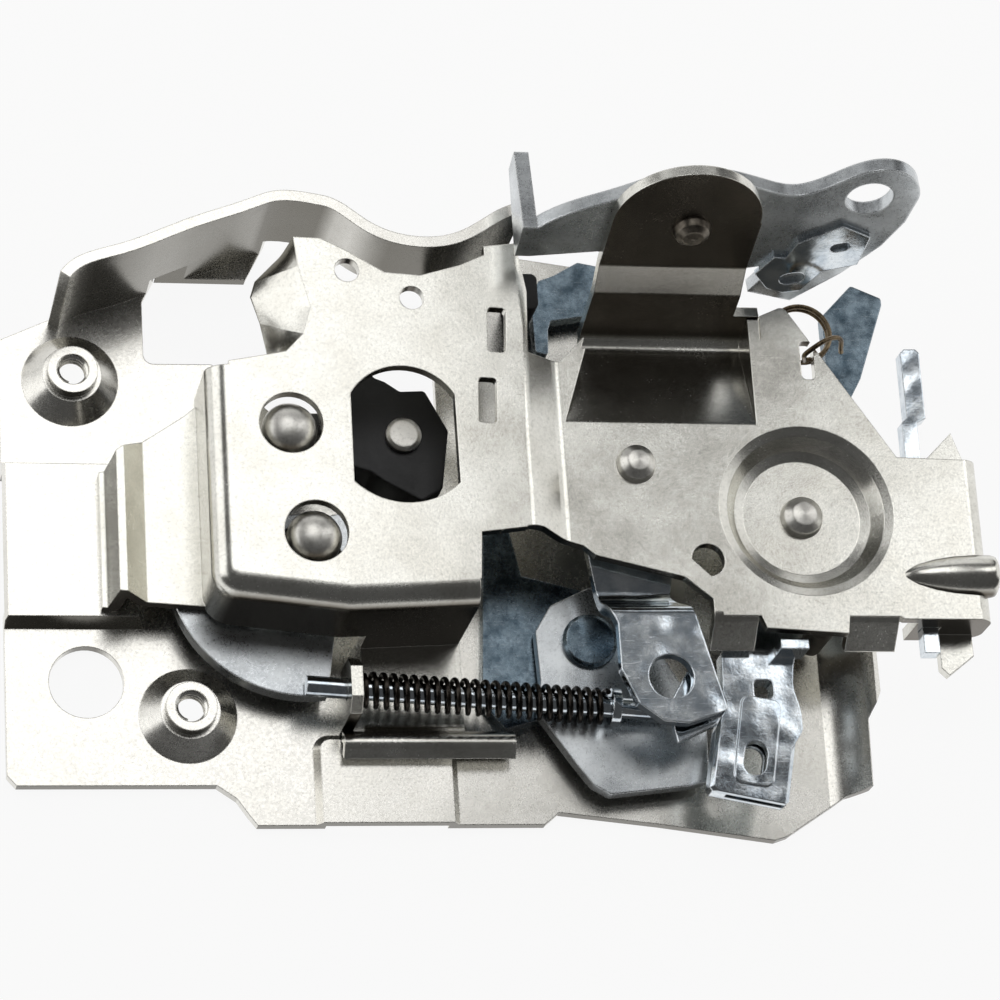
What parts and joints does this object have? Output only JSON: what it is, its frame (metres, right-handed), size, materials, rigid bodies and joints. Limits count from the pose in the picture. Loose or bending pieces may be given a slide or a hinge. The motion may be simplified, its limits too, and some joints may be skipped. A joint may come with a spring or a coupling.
{
  "type": "car door lock",
  "caption": "Flat car door lock with a pressed back plate, boxed cover, fork bolt, pawl, spring-loaded release rod and an upright lever on a lug.",
  "frame": {"origin": "centre of the plain locating hole in the back plate, at the plate's underside", "axes": "+X to the right along the lock's length, +Y up toward the wavy flange and the lever, +Z out of the back plate toward the viewer"},
  "size_m": [0.152, 0.1013, 0.0526],
  "materials": {
    "plate_zinc": "satin zinc plating",
    "frame_zinc": "satin nickel-like plating with fine scratches",
    "lever_zinc": "blue-bright zinc plating",
    "bright_zinc": "bright zinc plating",
    "grey_zinc": "mottled grey zinc plating",
    "rivet_steel": "tumbled satin",
    "dark_steel": "dark satin",
    "black_coat": "matte black coating",
    "dark_wire": "oiled dark spring wire",
    "bronze_wire": "dull bronze spring wire",
    "rubber_black": "matte rubber"
  },
  "bodies": {
    "housing": {"back_plate": "plate_zinc", "front_frame": "frame_zinc", "fork_pivot": "rivet_steel", "window_rivets": "rivet_steel", "pawl_spring": "dark_wire", "fork_spring": "dark_wire", "carrier_plate": "grey_zinc", "release_rivet": "grey_zinc", "bracket_rivet": "rivet_steel", "dish_rivet": "rivet_steel", "link_peg": "dark_steel", "torsion_spring": "bronze_wire", "lug_rivet": "dark_steel", "bumper": "rubber_black", "transfer_rivet": "rivet_steel", "return_spring": "dark_wire"},
    "fork": {"fork_bolt": "black_coat"},
    "pawl": {"pawl": "lever_zinc"},
    "release": {"release_plate": "lever_zinc"},
    "clevis": {"clevis_lever": "bright_zinc"},
    "rod": {"return_rod": "bright_zinc"},
    "link": {"link_lever": "bright_zinc"},
    "lock_lever": {"lock_lever": "grey_zinc"},
    "lock_slide": {"lock_slide": "bright_zinc"},
    "top_lever": {"top_lever": "lever_zinc", "lever_clip": "bright_zinc"},
    "transfer": {"transfer_lever": "grey_zinc"}
  },
  "joints": [
    {"name": "clevis_turn", "type": "hinge", "parent": "housing", "child": "clevis", "pos_m": [0.0836, 0.0295, 0.01545], "axis": [0, 0, 1], "range_deg": [-8, 0], "stiffness_Nm_per_rad": 0.05},
    {"name": "rod_slide", "type": "slide", "parent": "housing", "child": "rod", "axis": [0.9976, -0.0694, 0], "range_m": [-0.0049, 0], "deforming": ["return_spring"]},
    {"name": "release_turn", "type": "hinge", "parent": "housing", "child": "release", "pos_m": [0.0773, 0.005, 0.0058], "axis": [0, 0, 1], "range_deg": [-6.2, 0]},
    {"name": "pawl_turn", "type": "hinge", "parent": "housing", "child": "pawl", "pos_m": [0.033, 0.0168, 0.0067], "axis": [0, 0, 1], "range_deg": [-12.2, 0]},
    {"name": "fork_turn", "type": "hinge", "parent": "housing", "child": "fork", "pos_m": [0.049, 0.037, 0.008], "axis": [0, 0, 1], "range_deg": [-34.2, 0]},
    {"name": "link_turn", "type": "hinge", "parent": "housing", "child": "link", "pos_m": [0.1103, 0.0223, 0.01225], "axis": [0, 0, 1], "range_deg": [-8, 0], "stiffness_Nm_per_rad": 0.03},
    {"name": "lock_turn", "type": "hinge", "parent": "housing", "child": "lock_lever", "pos_m": [0.1103, 0.0223, 0.0084], "axis": [0, 0, 1], "range_deg": [-8, 8]},
    {"name": "lock_slide_travel", "type": "slide", "parent": "housing", "child": "lock_slide", "axis": [0, 1, 0], "range_m": [-0.0028, 0.0028]},
    {"name": "top_lever_turn", "type": "hinge", "parent": "housing", "child": "top_lever", "pos_m": [0.0902, 0.06349, 0.03888], "axis": [0, -0.9744, 0.225], "range_deg": [-8, 8]},
    {"name": "transfer_turn", "type": "hinge", "parent": "housing", "child": "transfer", "pos_m": [0.089, 0.06, 0.00525], "axis": [0, 0, 1], "range_deg": [-6.5, 6.5]}
  ],
  "couplings": [
    {"joint": "rod_slide", "follows": "clevis_turn", "m_per_rad": 0.0345},
    {"joint": "release_turn", "follows": "clevis_turn", "ratio": 0.75},
    {"joint": "pawl_turn", "follows": "clevis_turn", "ratio": 1.5},
    {"joint": "fork_turn", "follows": "clevis_turn", "ratio": 4.25},
    {"joint": "lock_slide_travel", "follows": "lock_turn", "m_per_rad": 0.0194},
    {"joint": "transfer_turn", "follows": "top_lever_turn", "ratio": 0.8}
  ]
}
